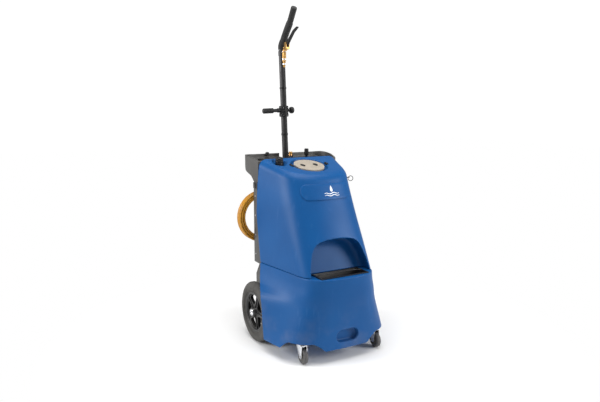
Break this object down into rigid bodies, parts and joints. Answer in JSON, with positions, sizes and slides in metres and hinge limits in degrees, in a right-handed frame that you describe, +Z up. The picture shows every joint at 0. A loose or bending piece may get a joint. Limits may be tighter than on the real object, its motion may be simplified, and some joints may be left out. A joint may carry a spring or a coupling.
{
  "type": "carpet cleaner machine",
  "caption": "Upright two-tank carpet extractor on rear wheels and front casters, with a stowed floor wand and a coiled power cord.",
  "frame": {"origin": "centre of the machine's footprint at floor level, without the cord", "axes": "+Z up, -Y towards the machine's front, X across the machine along the wheel axle"},
  "size_m": [0.619, 0.656, 1.6696],
  "materials": {
    "blue_shell": "satin moulded",
    "grey_plastic": "satin moulded",
    "black_plastic": "satin moulded",
    "tyre_rubber": "matt",
    "cream_plastic": "satin moulded",
    "brass": "turned",
    "chrome": "bright",
    "steel": "plain",
    "dark_steel": "satin paint",
    "yellow_cord": "satin",
    "motor_case": "cast"
  },
  "bodies": {
    "base": {"lower_tank": "blue_shell", "upper_tank": "blue_shell", "label_panel": "blue_shell", "motor_housing": "grey_plastic", "rear_cover": "grey_plastic", "terminal_box": "grey_plastic", "back_frame": "grey_plastic", "handle_tray": "grey_plastic", "standpipe": "grey_plastic", "float_cage": "grey_plastic", "vac_port": "black_plastic", "solution_pump": "black_plastic", "console": "black_plastic", "drain_valve": "black_plastic", "cord_hook_upper": "black_plastic", "cord_hook_lower": "black_plastic", "cord_gland": "black_plastic", "plug": "black_plastic", "ring_eyelet": "black_plastic", "brass_coupler": "brass", "caster_plate_left": "chrome", "caster_plate_right": "chrome", "motor_deck": "steel", "axle": "steel", "wand_shelf": "steel", "cord_lead": "yellow_cord", "cord_coil": "yellow_cord", "vac_motor_a": "motor_case", "vac_motor_b": "motor_case"},
    "wheel_left": {"tyre_left": "tyre_rubber", "hub_left": "black_plastic", "hub_cap_left": "chrome"},
    "wheel_right": {"tyre_right": "tyre_rubber", "hub_right": "black_plastic", "hub_cap_right": "chrome"},
    "caster_left": {"caster_fork_left": "chrome", "caster_pin_left": "steel"},
    "caster_right": {"caster_fork_right": "chrome", "caster_pin_right": "steel"},
    "roller_left": {"caster_wheel_left": "tyre_rubber"},
    "roller_right": {"caster_wheel_right": "tyre_rubber"},
    "lid_seal": {"lid_seal": "black_plastic"},
    "disc_lid": {"disc_lid": "cream_plastic"},
    "port_cap": {"port_cap": "black_plastic"},
    "fill_basket": {"fill_basket": "black_plastic"},
    "rocker_1": {"rocker_switch_1": "black_plastic"},
    "rocker_2": {"rocker_switch_2": "black_plastic"},
    "pressure_knob": {"pressure_knob": "black_plastic"},
    "drain_lever": {"drain_lever": "yellow_cord"},
    "wire_ring": {"wire_ring": "steel"},
    "wand": {"wand_tube": "dark_steel", "wand_grip": "black_plastic", "wand_valve": "brass", "solution_line": "chrome", "wand_head": "dark_steel", "handle_clamp": "black_plastic", "side_bar": "black_plastic"},
    "wand_trigger": {"wand_trigger": "black_plastic"},
    "clamp_knob": {"clamp_knob": "black_plastic"},
    "float_ball": {"float_ball": "cream_plastic"}
  },
  "joints": [
    {"name": "wheel_left_spin", "type": "hinge", "parent": "base", "child": "wheel_left", "pos_m": [-0.2725, 0.098, 0.1525], "axis": [1, 0, 0], "continuous": true},
    {"name": "wheel_right_spin", "type": "hinge", "parent": "base", "child": "wheel_right", "pos_m": [0.2725, 0.098, 0.1525], "axis": [1, 0, 0], "continuous": true},
    {"name": "caster_left_swivel", "type": "hinge", "parent": "base", "child": "caster_left", "pos_m": [-0.205, -0.24, 0.091], "axis": [0, 0, 1], "continuous": true},
    {"name": "caster_left_roll", "type": "hinge", "parent": "caster_left", "child": "roller_left", "pos_m": [-0.205, -0.262, 0.038], "axis": [1, 0, 0], "continuous": true},
    {"name": "caster_right_swivel", "type": "hinge", "parent": "base", "child": "caster_right", "pos_m": [0.205, -0.24, 0.091], "axis": [0, 0, 1], "continuous": true},
    {"name": "caster_right_roll", "type": "hinge", "parent": "caster_right", "child": "roller_right", "pos_m": [0.205, -0.262, 0.038], "axis": [1, 0, 0], "continuous": true},
    {"name": "lid_lift", "type": "slide", "parent": "base", "child": "lid_seal", "axis": [0, -0.2385, 0.9711], "range_m": [0, 0.08]},
    {"name": "lid_turn", "type": "hinge", "parent": "lid_seal", "child": "disc_lid", "pos_m": [0, 0.043, 0.89], "axis": [0, -0.2385, 0.9711], "continuous": true},
    {"name": "port_cap_lift", "type": "slide", "parent": "base", "child": "port_cap", "axis": [0, 0, 1], "range_m": [0, 0.04]},
    {"name": "basket_lift", "type": "slide", "parent": "base", "child": "fill_basket", "axis": [0, 0, 1], "range_m": [0, 0.08]},
    {"name": "vacuum_switch", "type": "hinge", "parent": "base", "child": "rocker_1", "pos_m": [0.128, 0.206, 0.9095], "axis": [1, 0, 0], "range_deg": [0, 7]},
    {"name": "pump_switch", "type": "hinge", "parent": "base", "child": "rocker_2", "pos_m": [0.16, 0.206, 0.9095], "axis": [1, 0, 0], "range_deg": [0, 7]},
    {"name": "pressure_turn", "type": "hinge", "parent": "base", "child": "pressure_knob", "pos_m": [0.0836, 0.218, 0.93], "axis": [0, 0, 1], "range_deg": [-135, 135]},
    {"name": "drain_turn", "type": "hinge", "parent": "base", "child": "drain_lever", "pos_m": [0.12, 0.1728, 0.475], "axis": [0, 1, 0], "range_deg": [0, 90]},
    {"name": "ring_swing", "type": "hinge", "parent": "base", "child": "wire_ring", "pos_m": [0.18976, -0.02595, 0.822], "axis": [0, 0, 1], "range_deg": [-45, 45]},
    {"name": "wand_lift", "type": "slide", "parent": "base", "child": "wand", "axis": [-0.036, 0, 0.9994], "range_m": [0, 0.12]},
    {"name": "trigger_pull", "type": "hinge", "parent": "wand", "child": "wand_trigger", "pos_m": [-0.02891, 0.223, 1.4905], "axis": [1, 0, 0], "range_deg": [-12, 0], "stiffness_Nm_per_rad": 0.3, "springref_deg": 2.86},
    {"name": "clamp_screw", "type": "hinge", "parent": "wand", "child": "clamp_knob", "pos_m": [0.02316, 0.283, 1.15544], "axis": [0.9994, 0, 0.036], "continuous": true},
    {"name": "float_rise", "type": "slide", "parent": "base", "child": "float_ball", "axis": [0, 0, 1], "range_m": [0, 0.045]}
  ]
}
